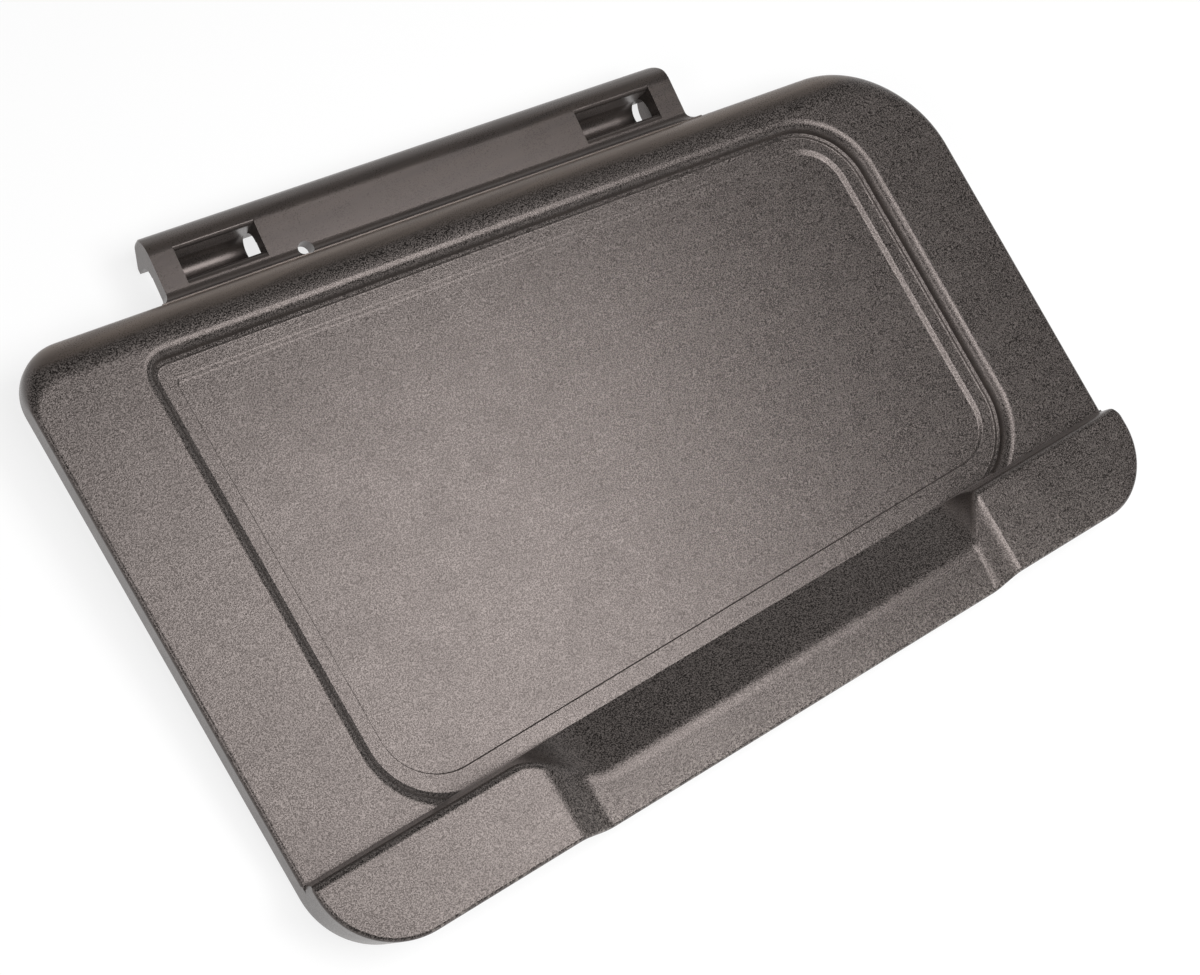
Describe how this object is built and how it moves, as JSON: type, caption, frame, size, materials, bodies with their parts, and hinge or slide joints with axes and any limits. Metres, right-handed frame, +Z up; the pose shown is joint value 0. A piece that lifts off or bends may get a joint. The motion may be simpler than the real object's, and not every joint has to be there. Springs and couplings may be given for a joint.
{
  "type": "side discharge deflector",
  "caption": "One-piece plastic flap for a side discharge chute: a shell with a sunk field, a scooped lip along the foot and a hinge strip with a rod channel.",
  "frame": {"origin": "under the middle of the part, on the surface that it lies on", "axes": "+X along the foot towards the hinge side's lower end, +Y from the lip to the hinge, +Z up, out of the face"},
  "size_m": [0.291, 0.2042, 0.0229],
  "materials": {
    "plastic": "fine sandblast grain on the face, smooth on fillets and hinge"
  },
  "bodies": {
    "root": {"deflector": "plastic"}
  },
  "joints": []
}
